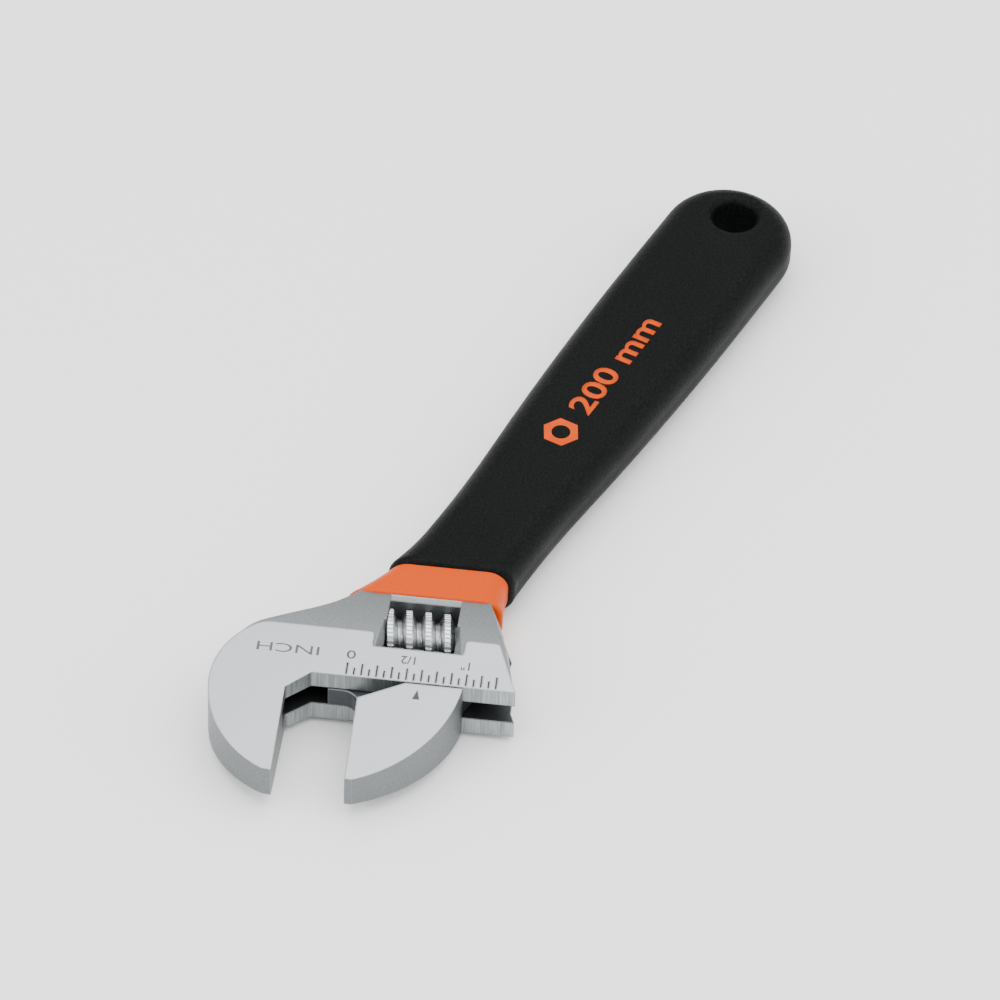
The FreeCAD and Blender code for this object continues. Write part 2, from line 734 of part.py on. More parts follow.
def grip_form(name, inset, half, rounding, collar, collar_rounding, hole):
    """A rounded handle form whose sides stand inset from the outer grip's."""
    body = doc.addObject("PartDesign::Body", name)
    sketch = new_sketch(body, name + "_outline", "XY_Plane")
    outline(sketch, [
        ("grip_right_x", "grip_right_y" + inset, "grip_right_hollow", -1),
        ("grip_flare_x", "grip_flare_y" + inset, "grip_waist_arc", -1),
        ("grip_turn_x", "grip_turn_y" + inset, "grip_side_arc", 1),
        ("grip_wide_x", "grip_end_r" + inset),
        ("grip_end_x", "grip_end_r" + inset, name + "_end_r", 1),
        ("grip_end_x - %s_end_r" % name, None, name + "_end_r", 1),
        ("grip_end_x", "- %s_end_r" % name),
        ("grip_wide_x", "- %s_end_r" % name, "grip_side_arc", 1),
        ("grip_turn_x", "- grip_turn_y" + inset.replace("-", "+"), "grip_waist_arc", -1),
        ("grip_flare_x", "- grip_flare_y" + inset.replace("-", "+"), "grip_left_hollow", -1),
        ("grip_left_x", "grip_left_y" + inset.replace("-", "+")),
    ])
    extrude(body, "PartDesign::Pad", name + "_pad", sketch, half + " + " + half, midplane=True)

    def long_edge(middle, edge):
        upright = abs(edge.tangentAt(edge.FirstParameter).z) > 0.5
        at_head = edge.Curve.TypeId == "Part::GeomLine" and middle.x > SIZES["grip_flare_x"]
        return not upright and not at_head

    dress(body, "PartDesign::Fillet", name + "_rounding", pick_edges(body, long_edge), rounding)

    # the collar is cut off square to the head, not to the handle
    trim = new_sketch(body, name + "_collar", "XY_Plane")
    trim.AttachmentOffset = Placement(Vector(), Rotation(Vector(0, 0, 1), 1))
    trim.setExpression("AttachmentOffset.Rotation.Angle", "sizes.head_turn * 1deg")
    bind(trim, "AttachmentOffset.Base.x", "head_x")
    bind(trim, "AttachmentOffset.Base.y", "head_y")
    outline(trim, [
        ("- collar_reach_u", "collar_front_v"),
        ("collar_reach_u", "collar_front_v"),
        ("collar_reach_u", collar),
        ("- collar_reach_u", collar),
    ])
    extrude(body, "PartDesign::Pocket", name + "_trim", trim, "stock_half + stock_half", midplane=True)

    def collar_rim(middle, edge):
        """Edges of the flat end that the collar's cut leaves."""
        back = Placement(
            Vector(SIZES["head_x"], SIZES["head_y"], 0), Rotation(Vector(0, 0, 1), SIZES["head_turn"])
        ).inverse()
        ends = [back.multVec(vertex.Point).y for vertex in edge.Vertexes]
        return max(abs(end - SIZES[collar]) for end in ends) < 0.01

    rim = pick_edges(body, collar_rim)
    dress(body, "PartDesign::Fillet", name + "_collar_rounding", rim, collar_rounding)

    eye = new_sketch(body, name + "_hole_circle", "XY_Plane")
    ring(eye, hole)
    extrude(body, "PartDesign::Pocket", name + "_hole", eye, "stock_half + stock_half", midplane=True)
    return body


outer_form = grip_form(
    "outer_form", "", "grip_half", "grip_round", "grip_collar_v", "collar_round", "hang_hole_r"
)
inner_form = grip_form(
    "inner_form", " - grip_wall", "sleeve_half", "sleeve_round", "sleeve_collar_v",
    "sleeve_collar_round", "sleeve_hole_r"
)


def eye_rim(middle, edge):
    """The two rims of the hanging hole."""
    return abs(middle.Length - math.hypot(SIZES["hang_hole_r"], SIZES["grip_half"])) < 0.05


dress(outer_form, "PartDesign::Fillet", "hang_rim_rounding", pick_edges(outer_form, eye_rim), "hang_rim")

sleeve = doc.addObject("Part::Cut", "inner_sleeve")
sleeve.Label = "inner_sleeve"
sleeve.Base = inner_form
sleeve.Tool = frame
grip = doc.addObject("Part::Cut", "outer_grip")
grip.Label = "outer_grip"
grip.Base = outer_form
grip.Tool = inner_form
doc.recompute()

# ---- check every object, then write each sub-part ----
for item in doc.Objects:
    for fault in ("Invalid", "Error"):
        if fault in item.State:
            raise RuntimeError(item.Name + " is in state " + fault)

os.makedirs("parts", exist_ok=True)
for part in (frame, jaw, worm, pin, spring, sleeve, grip):
    if part.Shape.isNull() or not part.Shape.isValid():
        raise RuntimeError(part.Label + " has no valid shape")
    if len(part.Shape.Solids) != 1:
        raise RuntimeError(part.Label + " is not one solid")
    part.Shape.exportStep("parts/" + part.Label + ".step")
    print(part.Label, round(part.Shape.Volume, 1), part.Shape.BoundBox)
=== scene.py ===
import math
import bpy
from mathutils import Euler, Matrix, Vector


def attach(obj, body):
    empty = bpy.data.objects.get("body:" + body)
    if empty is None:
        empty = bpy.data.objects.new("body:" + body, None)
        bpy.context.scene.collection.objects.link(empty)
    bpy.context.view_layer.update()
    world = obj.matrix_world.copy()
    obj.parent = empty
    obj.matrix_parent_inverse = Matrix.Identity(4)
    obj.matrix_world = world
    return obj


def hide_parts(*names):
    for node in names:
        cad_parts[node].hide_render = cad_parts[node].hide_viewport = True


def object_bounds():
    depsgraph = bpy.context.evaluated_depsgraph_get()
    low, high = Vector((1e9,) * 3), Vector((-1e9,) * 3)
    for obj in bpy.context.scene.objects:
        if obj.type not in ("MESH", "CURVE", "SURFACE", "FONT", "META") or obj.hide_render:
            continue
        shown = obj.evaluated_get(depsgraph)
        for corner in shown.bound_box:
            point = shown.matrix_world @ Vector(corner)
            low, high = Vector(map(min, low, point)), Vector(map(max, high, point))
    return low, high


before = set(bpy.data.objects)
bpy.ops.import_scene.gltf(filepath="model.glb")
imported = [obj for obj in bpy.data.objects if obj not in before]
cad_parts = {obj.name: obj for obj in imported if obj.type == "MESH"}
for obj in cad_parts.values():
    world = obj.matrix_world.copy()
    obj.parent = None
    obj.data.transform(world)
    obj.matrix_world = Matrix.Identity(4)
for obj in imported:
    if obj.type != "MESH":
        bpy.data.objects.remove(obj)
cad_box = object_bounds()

MM = 0.001

# ---------------------------------------------------------------------------
# Frame: one steel forging with the fixed jaw, the head, the neck and the
# shank. Its raised faces and jaw fronts are ground and plated in satin
# chrome; the low neck and the side walls keep a duller plated skin, and
# the walls near the head are darkened further with painted shade. The slot
# is darkened with painted shade, and the edges are painted bright, partly
# as rubbed wear and partly as a painted highlight.
# ---------------------------------------------------------------------------
HEAD_PLACE = Vector((173.81, -14.70, 0.0)) * MM
HEAD_TURN = math.radians(113.0)
FACE_SLOPE = 0.115
FACE_HALF = 7.0 * MM
GROUND_STEEL = (0.42, 0.44, 0.455)
# duller forged skin, darkened further with painted shade on the walls
DULL_SHADED_STEEL = (0.20, 0.215, 0.22)
NECK_STEEL = (0.29, 0.31, 0.32)
SHADED_STEEL = (0.075, 0.08, 0.085)
SCALE_INK = (0.07, 0.07, 0.075)
SLOT_HALF = 2.75 * MM
SLOT_FADE = 1.8 * MM
FRAME_SLOT = {"long": (-8.0 * MM, 50.0 * MM), "deep": (-5.0 * MM, 14.7 * MM)}
TICKS = {"up": (0.0, 20 * MM), "long": (11.0 * MM, 45.6 * MM), "deep": (0.3 * MM, 3.6 * MM)}
TICKS_UNDER_FACE = (0.4 * MM, 0.06 * MM)
POLISH_FADE = (0.22 * MM, 0.08 * MM)
FRONT_FADE = (0.2 * MM, 0.4 * MM)
FRONT_BACK = 0.2 * MM
NECK_FADE = (7 * MM, 10 * MM)
# edges painted bright: partly rubbed wear, partly a painted highlight
WORN_AND_HIGHLIT_EDGE = {"round": 0.5 * MM, "level": (0.985, 0.90), "patches": (0.3, 0.7)}
STEEL_CLOUD = 9 * MM
FORGED_PIT = 0.35 * MM
MILL_LINE = 0.45 * MM
MILL_LINE_STRETCH = (1.0, 1.0, 26.0)
SATIN_ROUGHNESS = (0.30, 0.40)
DULL_ROUGHNESS = (0.42, 0.56)
PIT_DEPTHS = {"ground": 0.12, "more_on_walls": 0.5}
PIT_SHADE = 0.35
POLISH_TINTS = (0.95, 1.05)
STREAK_TINTS = (1.1, 2.2)
STEEL_RELIEF = 0.05 * MM
NOISE_REACH = (0.25, 0.75)


def head_point(u, v, w):
    """A point given along the jaw's travel, back towards the handle, and up."""
    turned = Matrix.Rotation(HEAD_TURN, 3, "Z")
    return HEAD_PLACE + turned @ Vector((u, v, w))


def new_material(name, roughness, metallic=0.0):
    """A material with its shader's fixed numbers set."""
    material = bpy.data.materials.new(name)
    material.use_nodes = True
    shader = material.node_tree.nodes["Principled BSDF"]
    shader.inputs["Roughness"].default_value = roughness
    shader.inputs["Metallic"].default_value = metallic
    return material


def node(material, kind, inputs=(), **settings):
    """A node with its settings; each input takes a number, a vector or another node's output."""
    tree = material.node_tree
    new = tree.nodes.new(kind)
    for name, value in settings.items():
        setattr(new, name, value)
    for place, value in dict(inputs).items():
        if isinstance(value, bpy.types.NodeSocket):
            tree.links.new(value, new.inputs[place])
        else:
            new.inputs[place].default_value = value
    return new


def figure(material, operation, first, second=0.0):
    """One step of arithmetic on the surface's numbers."""
    return node(material, "ShaderNodeMath", {0: first, 1: second}, operation=operation).outputs[0]


def times(material, first, second):
    """Two numbers multiplied."""
    return figure(material, "MULTIPLY", first, second)


def plus(material, first, second):
    """Two numbers added."""
    return figure(material, "ADD", first, second)


def edge_between(material, value, low, high):
    """0 below low, 1 above high, and smooth between."""
    inputs = {"Value": value, "From Min": low, "From Max": high}
    return node(material, "ShaderNodeMapRange", inputs, interpolation_type="SMOOTHSTEP").outputs[0]


def within(material, value, low, high):
    """1 from low to high and 0 outside."""
    above = figure(material, "GREATER_THAN", value, low)
    return times(material, above, figure(material, "LESS_THAN", value, high))


def spread(material, value, low, high):
    """Noise, most of it within NOISE_REACH, spread over a range of roughness or brightness."""
    inputs = {"Value": value, "To Min": low, "To Max": high}
    inputs["From Min"], inputs["From Max"] = NOISE_REACH
    return node(material, "ShaderNodeMapRange", inputs).outputs[0]


def tinted(colour, amount):
    """A colour made lighter or darker."""
    return [part * amount for part in colour]


def blended(material, factor, first, second):
    """One colour laid over another where the mask is 1."""
    inputs = {0: factor}
    for place, colour in ((6, first), (7, second)):
        plain = not isinstance(colour, bpy.types.NodeSocket)
        inputs[place] = (*colour, 1.0) if plain else colour
    return node(material, "ShaderNodeMix", inputs, data_type="RGBA").outputs[2]


def grain(material, place, size, detail=3.0, stretch=(1.0, 1.0, 1.0)):
    """Noise whose features are about that size, in metres, before it is stretched."""
    inputs = {"Vector": place, "Scale": tuple(1.0 / k for k in stretch)}
    fitted = node(material, "ShaderNodeMapping", inputs).outputs[0]
    noise = {"Vector": fitted, "Scale": 1.0 / size, "Detail": detail}
    return node(material, "ShaderNodeTexNoise", noise).outputs[0]


def finish_surface(material, colour, roughness, height, depth, rounded=None):
    """Wires a material's colour, roughness and fine relief to its shader."""
    shader = material.node_tree.nodes["Principled BSDF"]
    relief = {"Strength": 1.0, "Distance": depth, "Height": height}
    if rounded:
        relief["Normal"] = rounded
    bump = node(material, "ShaderNodeBump", relief)
    links = material.node_tree.links
    links.new(colour, shader.inputs["Base Color"])
    links.new(roughness, shader.inputs["Roughness"])
    links.new(bump.outputs[0], shader.inputs["Normal"])


def head_places(material):
    """The surface's place in the head's own directions: all three together, then u, v and w."""
    place = node(material, "ShaderNodeTexCoord").outputs["Object"]
    inputs = {"Vector": place, "Location": HEAD_PLACE, "Rotation": (0.0, 0.0, HEAD_TURN)}
    turned = node(material, "ShaderNodeMapping", inputs, vector_type="TEXTURE").outputs[0]
    split = node(material, "ShaderNodeSeparateXYZ", {0: turned})
    return (turned, *split.outputs[:3])


def plated_steel(name, has_ticks, slot):
    """Ground faces, dull forged walls darkened further with painted shade, milled fronts with
    their lines, edges painted bright as part wear and part highlight, and the slot darkened with
    painted shade.
    """
    material = new_material(name, 0.4, metallic=1.0)
    place, u, v, w = head_places(material)
    cloud = grain(material, place, STEEL_CLOUD, 4.0)
    fine = grain(material, place, FORGED_PIT, 2.0)
    lines = grain(material, place, MILL_LINE, 2.0, stretch=MILL_LINE_STRETCH)

    # where the faces are ground, where the fronts are milled, and where the slot is
    up = figure(material, "ABSOLUTE", w)
    height = figure(material, "SUBTRACT", up, times(material, v, FACE_SLOPE))
    ground = edge_between(material, height, *(FACE_HALF - under for under in POLISH_FADE))
    walls = figure(material, "SUBTRACT", 1.0, ground)
    at_front = figure(material, "LESS_THAN", v, FRONT_BACK)
    milled = times(material, edge_between(material, u, *FRONT_FADE), at_front)
    milled = times(material, milled, float(has_ticks))
    # painted shade: the slot's faces and the web inside it are darkened
    inside = figure(material, "LESS_THAN", up, SLOT_HALF)
    for number, reach in ((u, slot["long"]), (v, slot["deep"])):
        inside = times(material, inside, within(material, number, *reach))
    front = slot["deep"][0]
    inside = times(material, inside, edge_between(material, v, front, front + SLOT_FADE))

    # the edges, rounded in the shading and painted bright, partly as rubbed wear and partly as a
    # painted highlight
    radius = {"Radius": WORN_AND_HIGHLIT_EDGE["round"]}
    rounded = node(material, "ShaderNodeBevel", radius, samples=4).outputs[0]
    facing = node(material, "ShaderNodeNewGeometry").outputs["True Normal"]
    both = {0: rounded, 1: facing}
    level = node(material, "ShaderNodeVectorMath", both, operation="DOT_PRODUCT").outputs["Value"]
    patches = spread(material, cloud, *WORN_AND_HIGHLIT_EDGE["patches"])
    worn_and_highlit = times(material, edge_between(material, level, *WORN_AND_HIGHLIT_EDGE["level"]), patches)

    polish = blended(material, cloud, *(tinted(GROUND_STEEL, k) for k in POLISH_TINTS))
    # the head's walls take the darker colour: a duller forged skin and painted shade
    forged = blended(material, edge_between(material, v, *NECK_FADE), DULL_SHADED_STEEL, NECK_STEEL)
    forged = blended(material, spread(material, fine, 0, PIT_SHADE), forged, SHADED_STEEL)
    streaks = spread(material, lines, 0, 1)
    cut = blended(material, streaks, *(tinted(DULL_SHADED_STEEL, k) for k in STREAK_TINTS))
    skin = blended(material, milled, forged, cut)
    # painted shade laid over the slot
    skin = blended(material, inside, skin, SHADED_STEEL)
    # painted highlight and wear: the edges take the ground steel's colour
    skin = blended(material, worn_and_highlit, skin, GROUND_STEEL)
    colour = blended(material, ground, skin, polish)
    if has_ticks:
        inked = within(material, height, *(FACE_HALF - under for under in TICKS_UNDER_FACE))
        for number, way in ((w, "up"), (u, "long"), (v, "deep")):
            inked = times(material, inked, within(material, number, *TICKS[way]))
        colour = blended(material, inked, colour, SCALE_INK)

    satin = spread(material, cloud, *SATIN_ROUGHNESS)
    dull = spread(material, fine, *DULL_ROUGHNESS)
    smoother = times(material, ground, figure(material, "SUBTRACT", satin, dull))
    roughness = plus(material, dull, smoother)
    pit_depth = times(material, walls, PIT_DEPTHS["more_on_walls"])
    pits = times(material, fine, plus(material, pit_depth, PIT_DEPTHS["ground"]))
    scored = times(material, lines, times(material, walls, milled))
    relief = plus(material, scored, pits)
    finish_surface(material, colour, roughness, relief, STEEL_RELIEF, rounded)
    return material


def give(node_name, material):
    """Puts a finish on one of the pieces that keep their engineering shape."""
    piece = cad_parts[node_name]
    piece.data.materials.clear()
    piece.data.materials.append(material)


give("frame_body", plated_steel("forged_steel", True, FRAME_SLOT))

# ---------------------------------------------------------------------------
# Scale figures: the numbers and the unit word beside the opening scale, cut
# shallow in the ground face and filled with dark paint.
# ---------------------------------------------------------------------------
PAINT_THICKNESS = 0.015 * MM
PAINT_RELIEF = 0.01 * MM
PAINT_TINTS = (0.85, 1.15)
PAINT_ROUGHNESS = (0.45, 0.65)
PAINT_SHINE = 0.1
INK_PATCH = 1.5 * MM
LETTER_CURVE_STEPS = 4
# name, words, along the jaw's travel, back, height, width factor, extra boldness
SCALE_TEXTS = (
    ("scale_zero", "0", 12.8, 5.5, 2.2, 1.4, 0.006),
    ("scale_half", "1/2", 24.9, 5.5, 2.1, 1.0, 0.012),
    ("scale_one", "1\"", 37.1, 5.4, 2.2, 1.0, 0.012),
    ("scale_unit", "INCH", -0.7, 5.5, 2.3, 1.75, 0.0),
)


def only(piece):
    """Makes a piece the one that the next tool acts on."""
    bpy.ops.object.select_all(action="DESELECT")
    piece.select_set(True)
    bpy.context.view_layer.objects.active = piece


def thickened(piece, thick):
    """Gives a flat piece a thickness, upwards."""
    only(piece)
    bpy.ops.object.mode_set(mode="EDIT")
    bpy.ops.mesh.select_all(action="SELECT")
    bpy.ops.mesh.extrude_region_move(TRANSFORM_OT_translate={"value": (0, 0, thick)})
    bpy.ops.mesh.select_all(action="SELECT")
    bpy.ops.mesh.normals_make_consistent(inside=False)
    bpy.ops.object.mode_set(mode="OBJECT")
    return piece


def flat_words(name, words, tall, wide, thick, bold):
    """Words as a flat mesh round the origin, tall high, stretched by wide, and thick deep."""
    bpy.ops.object.select_all(action="DESELECT")
    bpy.ops.object.text_add(location=(0, 0, 0))
    text = bpy.context.object
    text.name = name
    text.data.body = words
    text.data.align_x = "CENTER"
    text.data.align_y = "CENTER"
    text.data.resolution_u = LETTER_CURVE_STEPS
    text.data.offset = bold
    bpy.ops.object.convert(target="MESH")
    bpy.ops.object.origin_set(type="GEOMETRY_ORIGIN", center="BOUNDS")
    text = bpy.context.object
    text.location = (0, 0, 0)
    bpy.context.view_layer.update()
    scale = tall / text.dimensions.y
    text.scale = (scale * wide, scale, 1.0)
    bpy.ops.object.transform_apply(location=True, rotation=True, scale=True)
    return thickened(text, thick)


def lay(piece, place, along, up):
    """Puts a piece in its place: its own x runs along, its own y up."""
    along = along.normalized()
    facing = along.cross(up).normalized()
    turn = Matrix((along, facing.cross(along), facing)).transposed().to_4x4()
    piece.matrix_world = Matrix.Translation(place) @ turn
    only(piece)
    bpy.ops.object.transform_apply(location=True, rotation=True, scale=True)


def paint(name, colour, patch):
    """Matt printed or filled paint, a little worn."""
    material = new_material(name, 0.6)
    place = node(material, "ShaderNodeTexCoord").outputs["Object"]
    cloud = grain(material, place, patch, 4.0)
    wear = spread(material, cloud, 0, 1)
    worn = blended(material, wear, *(tinted(colour, k) for k in PAINT_TINTS))
    matt = spread(material, cloud, *PAINT_ROUGHNESS)
    finish_surface(material, worn, matt, cloud, PAINT_RELIEF)
    shader = material.node_tree.nodes["Principled BSDF"]
    shader.inputs["Specular IOR Level"].default_value = PAINT_SHINE
    return material


def head_way(u, v, w):
    """A direction given along the jaw's travel, back towards the handle, and up."""
    return head_point(u, v, w) - head_point(0, 0, 0)


def on_face(u, v):
    """A point on the ground face, from millimetres along the jaw's travel and back."""
    return head_point(u * MM, v * MM, FACE_HALF + FACE_SLOPE * v * MM)


ink = paint("scale_paint", (0.10, 0.10, 0.105), INK_PATCH)
for name, words, u, v, tall, wide, bold in SCALE_TEXTS:
    scale_text = flat_words(name, words, tall * MM, wide, PAINT_THICKNESS, bold)
    lay(scale_text, on_face(u, v), head_way(-1, 0, 0), head_way(0, -1, -FACE_SLOPE))
    scale_text.data.materials.append(ink)
    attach(scale_text, "wrench")

# ---------------------------------------------------------------------------
# Movable jaw: a second forging whose flat web slides in the head's slot and
# whose rack bar runs in the round channel. Plated steel as the frame is,
# with a small painted triangle on its face that points at the scale.
# ---------------------------------------------------------------------------
JAW_SLOT = {"long": (-10.0 * MM, 50.0 * MM), "deep": (-2.4 * MM, 14.7 * MM)}
MARK_CORNERS = ((27.8, -1.9), (26.9, -4.4), (28.5, -4.4))
MARK_INK = (0.07, 0.07, 0.075)

give("movable_jaw", plated_steel("jaw_steel", False, JAW_SLOT))


def pointer_mark():
    """The triangle on the jaw's face, its point towards the scale."""
    bpy.ops.mesh.primitive_circle_add(vertices=3, radius=MM, fill_type="NGON")
    mark = bpy.context.object
    mark.name = "pointer_mark"
    for vertex, corner in zip(mark.data.vertices, MARK_CORNERS):
        vertex.co = on_face(*corner)
    return thickened(mark, PAINT_THICKNESS)


mark = pointer_mark()
mark.data.materials.append(paint("mark_paint", MARK_INK, INK_PATCH))
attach(mark, "jaw")

# ---------------------------------------------------------------------------
# Adjusting worm: a steel thumb screw, a single right-handed thread cut in a
# short bar, its crest knurled for the thumb, bored for its pin and with a
# well for the spring. Bright plated.
# ---------------------------------------------------------------------------
# millimetres along the jaw's travel and back from it, radii, and steps
WORM = {
    "lead": 4.1, "left": 18.9, "right": 33.9, "axis": 18.6, "crest": 18.46,
    "bore": 1.8, "well": 3.3, "well_deep": 5.0, "turns": 7, "steps": 44,
}
KNURL = {"from_r": 5.9 * MM, "level": 0.3, "border": 0.14 * MM, "raised": 0.18 * MM}
BORE_SIDES = 48
DRILL_SPARE = 4.0
MERGE_GAP = 0.01 * MM
CUT_GAP = 0.001 * MM
# painted shade: the share of the colour left deep in the thread, near the worm's axis
SMOOTH_UNDER = math.radians(32)
PAINTED_AXIS_SHADE = 0.45
PLATED_CLOUD = 2 * MM
PLATED_TINT = {"amount": 0.3, "dark": 0.7}
PLATED_RELIEF = 0.03 * MM
# one lead of the thread's side: millimetres along the axis, and radius
THREAD_SIDE = (
    (-0.7, 6.0), (0.7, 6.0), (1.0, 5.5), (1.25, 4.7), (1.6, 4.15), (2.05, 4.0),
    (2.5, 4.15), (2.85, 4.7), (3.1, 5.5), (3.4, 6.0),
)


def applied(piece, kind, **settings):
    """A modifier set and applied."""
    only(piece)
    modifier = piece.modifiers.new(kind.title(), kind)
    for name, value in settings.items():
        setattr(modifier, name, value)
    bpy.ops.object.modifier_apply(modifier=modifier.name)


def drilled(piece, sides, radius, deep, middle=0.0):
    """A round hole cut along the piece's own z."""
    bpy.ops.mesh.primitive_cylinder_add(
        vertices=sides, radius=radius, depth=deep, location=(0, 0, middle)
    )
    drill = bpy.context.object
    applied(piece, "BOOLEAN", operation="DIFFERENCE", solver="EXACT", object=drill)
    bpy.data.objects.remove(drill)
    return piece


def threaded_bar():
    """The thread's side drawn as a chain of edges, swept round the axis and cut to length."""
    bpy.ops.mesh.primitive_plane_add(size=MM)
    worm = bpy.context.object
    worm.name = "thumb_worm"
    bpy.ops.object.mode_set(mode="EDIT")
    bpy.ops.mesh.merge(type="CENTER")
    start = Vector((THREAD_SIDE[0][1], 0, THREAD_SIDE[0][0])) * MM
    bpy.ops.transform.translate(value=start)
    for (z0, r0), (z1, r1) in zip(THREAD_SIDE, THREAD_SIDE[1:]):
        step = Vector((r1 - r0, 0, z1 - z0)) * MM
        bpy.ops.mesh.extrude_region_move(TRANSFORM_OT_translate={"value": step})
    bpy.ops.object.mode_set(mode="OBJECT")
    applied(
        worm, "SCREW", axis="Z", angle=math.tau, screw_offset=WORM["lead"] * MM,
        iterations=WORM["turns"], steps=WORM["steps"], render_steps=WORM["steps"],
    )
    bpy.ops.object.mode_set(mode="EDIT")
    bpy.ops.mesh.select_all(action="SELECT")
    bpy.ops.mesh.remove_doubles(threshold=MERGE_GAP)
    back = WORM["crest"] - 2 * WORM["lead"]
    bpy.ops.transform.translate(value=(0, 0, back * MM))
    for cut, keep_inner in ((WORM["left"], False), (WORM["right"], True)):
        bpy.ops.mesh.select_all(action="SELECT")
        bpy.ops.mesh.bisect(
            plane_co=(0, 0, cut * MM), plane_no=(0, 0, 1), use_fill=True,
            clear_inner=not keep_inner, clear_outer=keep_inner, threshold=CUT_GAP,
        )
    bpy.ops.mesh.select_all(action="SELECT")
    bpy.ops.mesh.normals_make_consistent(inside=False)
    bpy.ops.object.mode_set(mode="OBJECT")
    return worm


def knurled(worm):
    """Each facet of the crest is drawn in and raised, which leaves a row of flat-topped ridges."""
    only(worm)
    bpy.ops.object.mode_set(mode="EDIT")
    bpy.ops.mesh.select_all(action="DESELECT")
    bpy.ops.object.mode_set(mode="OBJECT")
    for face in worm.data.polygons:
        away = math.hypot(face.center.x, face.center.y)
        face.select = away > KNURL["from_r"] and abs(face.normal.z) < KNURL["level"]
    bpy.ops.object.mode_set(mode="EDIT")
    bpy.ops.mesh.inset(use_individual=True, thickness=KNURL["border"], depth=KNURL["raised"])
    bpy.ops.object.mode_set(mode="OBJECT")
    return worm


def bored(worm):
    """The pin's bore right through and the spring's well in the right end."""
    through = WORM["right"] - WORM["left"] + DRILL_SPARE
    middle = (WORM["right"] + WORM["left"]) / 2
    well_middle = WORM["right"] - WORM["well_deep"] + through / 2
    for radius, centre in ((WORM["bore"], middle), (WORM["well"], well_middle)):
        drilled(worm, BORE_SIDES, radius * MM, through * MM, centre * MM)
    return worm


def bright_steel(name, colour, roughness, painted_shade_radii):
    """Bright plated steel, darker near the worm's axis with painted shade deep in the thread and
    its hollows.
    """
    material = new_material(name, roughness, metallic=1.0)
    place, _, v, w = head_places(material)
    # painted shade: darker towards the worm's axis
    off = figure(material, "SUBTRACT", v, WORM["axis"] * MM)
    squares = plus(material, times(material, off, off), times(material, w, w))
    away = figure(material, "SQRT", squares)
    high = edge_between(material, away, *(r * MM for r in painted_shade_radii))
    cloud = grain(material, place, PLATED_CLOUD, 4.0)
    colours = blended(material, high, tinted(colour, PAINTED_AXIS_SHADE), colour)
    tint = times(material, cloud, PLATED_TINT["amount"])
    colours = blended(material, tint, colours, tinted(colour, PLATED_TINT["dark"]))
    patches = spread(material, cloud, roughness - 0.06, roughness + 0.08)
    finish_surface(material, colours, patches, cloud, PLATED_RELIEF)
    return material


worm = bored(knurled(threaded_bar()))
lay(worm, head_point(0, WORM["axis"] * MM, 0), head_way(0, 1, 0), head_way(0, 0, 1))
bpy.ops.object.shade_smooth_by_angle(angle=SMOOTH_UNDER)
worm.data.materials.clear()
# the last two numbers are the radii, in millimetres, over which the painted shade fades out
worm.data.materials.append(bright_steel("worm_steel", (0.66, 0.68, 0.69), 0.26, (3.9, 5.6)))
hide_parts("adjusting_worm")
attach(worm, "worm")

# ---------------------------------------------------------------------------
# Worm pin: a plain turned steel pin with a slotted head, pushed through the
# frame from the right side wall.
# ---------------------------------------------------------------------------
# the last two numbers are the radii, in millimetres, over which the painted shade fades out
pin_steel = bright_steel("pin_steel", (0.50, 0.51, 0.52), 0.34, (0.2, 1.4))
give("worm_pin", pin_steel)

# ---------------------------------------------------------------------------
# Worm spring: a short coil of hard steel wire round the pin, held in the
# worm's well, which keeps the worm from turning by itself.
# ---------------------------------------------------------------------------
# the last two numbers are the radii, in millimetres, over which the painted shade fades out
spring_steel = bright_steel("spring_steel", (0.42, 0.43, 0.45), 0.3, (1.9, 2.5))
give("worm_spring", spring_steel)

# ---------------------------------------------------------------------------
# Inner sleeve: the orange vinyl that the handle is dipped in first. It shows
# as a collar between the black grip and the steel.
# ---------------------------------------------------------------------------
ORANGE = (0.56, 0.058, 0.0)
VINYL_CLOUD = 14 * MM
VINYL_PORE = 0.5 * MM
VINYL_CLOUD_SHADE = 0.25


def dipped_vinyl(name, colour, roughness, depth, speckle, shine):
    """Soft vinyl with fine pores of that depth, lighter and darker in fine specks."""
    material = new_material(name, roughness)
    place = node(material, "ShaderNodeTexCoord").outputs["Object"]
    fine = grain(material, place, VINYL_PORE, 3.0)
    cloud = grain(material, place, VINYL_CLOUD, 3.0)
    dark = tinted(colour, 1 - speckle)
    light = tinted(colour, 1 + 2 * speckle)
    specks = blended(material, spread(material, fine, 0, 1), dark, light)
    shade = times(material, cloud, VINYL_CLOUD_SHADE)
    shaded = blended(material, shade, specks, dark)
    patches = spread(material, cloud, roughness - 0.05, roughness + 0.06)
    finish_surface(material, shaded, patches, fine, depth)
    shader = material.node_tree.nodes["Principled BSDF"]
    shader.inputs["Specular IOR Level"].default_value = shine
    return material


orange_vinyl = dipped_vinyl("orange_vinyl", ORANGE, 0.42, 0.02 * MM, speckle=0.05, shine=0.08)
give("inner_sleeve", orange_vinyl)

# ---------------------------------------------------------------------------
# Outer grip: the black vinyl of the second dip, matt, with a fine leathery
# grain, and printed on one side in the under-layer's orange.
# ---------------------------------------------------------------------------
GRIP_BLACK = (0.0028, 0.0033, 0.0033)
GRIP_FACE = 7.0 * MM
PRINT_THICKNESS = 0.03 * MM
PRINT_SIDE = 0.2 * MM
PRINT_PATCH = 3 * MM
NUT_HOLE_SIDES = 32
NUT_MARK = {"place": 82.0 * MM, "radius": 4.3 * MM, "hole": 2.1 * MM}
SIZE_PRINT = {"words": "200 mm", "place": 57.4 * MM, "tall": 5.7 * MM, "wide": 1.36, "bold": 0.02}

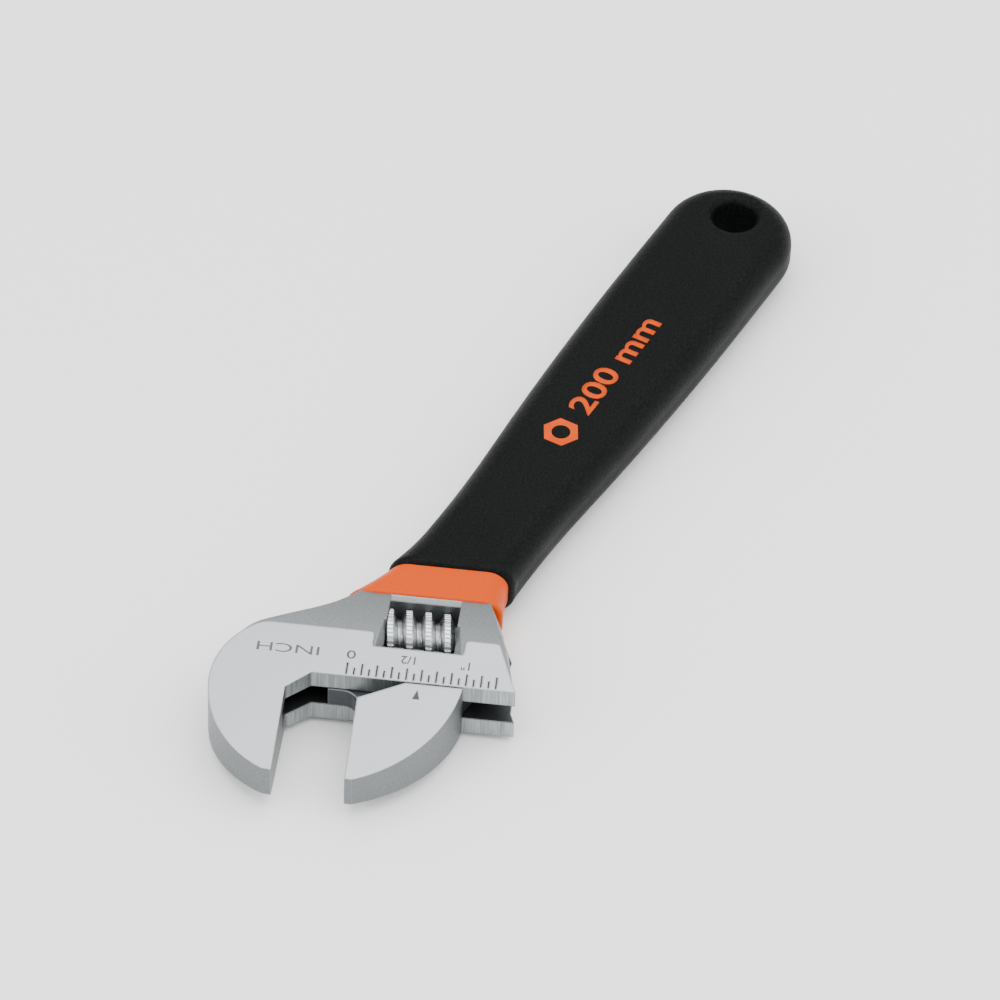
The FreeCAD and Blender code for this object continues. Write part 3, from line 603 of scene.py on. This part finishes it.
black_vinyl = dipped_vinyl("black_vinyl", GRIP_BLACK, 0.46, 0.12 * MM, speckle=1.0, shine=0.06)
give("outer_grip", black_vinyl)


def nut_mark():
    """A plain hexagon nut: six sides and a round hole."""
    bpy.ops.mesh.primitive_cylinder_add(
        vertices=6, radius=NUT_MARK["radius"], depth=PRINT_THICKNESS
    )
    nut = bpy.context.object
    nut.name = "nut_mark"
    return drilled(nut, NUT_HOLE_SIDES, NUT_MARK["hole"], PRINT_THICKNESS * 4)


grip_print = paint("orange_print", ORANGE, PRINT_PATCH)
size_words = flat_words(
    "size_print", SIZE_PRINT["words"], SIZE_PRINT["tall"], SIZE_PRINT["wide"],
    PRINT_THICKNESS, SIZE_PRINT["bold"],
)
for piece, sizes in ((size_words, SIZE_PRINT), (nut_mark(), NUT_MARK)):
    spot = Vector((sizes["place"], PRINT_SIDE, GRIP_FACE))
    lay(piece, spot, Vector((-1, 0, 0)), Vector((0, -1, 0)))
    piece.data.materials.append(grip_print)
    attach(piece, "wrench")

# ---------------------------------------------------------------------------
# Studio: a plain white table, a broad soft light above and weaker ones at
# the sides, and a long lens that looks down from the head's end.
# ---------------------------------------------------------------------------
TABLE = {"size": 6.0, "middle": 0.09, "gap": 0.1 * MM}
TABLE_WHITE = (0.97, 0.97, 0.97, 1)
WORLD_STRENGTH = 1.1
CAMERA = {
    "place": (0.914248, 0.426429, 0.935206), "turn": (44.5138, -1.5494, 119.4778),
    "lens": 216, "sensor_width": 36, "clip_start": 0.05, "clip_end": 20,
}
# name, place, what it faces, size, power
LIGHTS = (
    ("over_light", (0.05, 0.10, 0.90), (0.0, 0.0, 0.0), 1.2, 14.0),
    ("head_light", (0.90, -0.60, 0.55), (0.12, 0.0, 0.0), 0.7, 6.0),
    ("side_light", (-0.25, 0.95, 0.50), (0.09, 0.0, 0.0), 0.7, 3.0),
)

under = cad_box[0].z - TABLE["gap"]
bpy.ops.mesh.primitive_plane_add(size=TABLE["size"], location=(TABLE["middle"], 0, under))
table = bpy.context.object
table.name = "table"
table_white = new_material("table_white", 0.9)
table_shader = table_white.node_tree.nodes["Principled BSDF"]
table_shader.inputs["Base Color"].default_value = TABLE_WHITE
table.data.materials.append(table_white)

for name, spot, target, size, power in LIGHTS:
    light = bpy.data.lights.new(name, "AREA")
    light.size = size
    light.energy = power
    lamp = bpy.data.objects.new(name, light)
    lamp.location = spot
    lamp.rotation_euler = (Vector(target) - Vector(spot)).to_track_quat("-Z", "Y").to_euler()
    bpy.context.collection.objects.link(lamp)

world = bpy.data.worlds.new("studio")
bpy.context.scene.world = world
world.use_nodes = True
background = world.node_tree.nodes["Background"]
background.inputs["Color"].default_value = (1, 1, 1, 1)
background.inputs["Strength"].default_value = WORLD_STRENGTH

camera_data = bpy.data.cameras.new("camera")
for setting in ("lens", "sensor_width", "clip_start", "clip_end"):
    setattr(camera_data, setting, CAMERA[setting])
camera = bpy.data.objects.new("camera", camera_data)
camera.location = CAMERA["place"]
camera.rotation_euler = Euler([math.radians(k) for k in CAMERA["turn"]], "XYZ")
bpy.context.collection.objects.link(camera)
bpy.context.scene.camera = camera
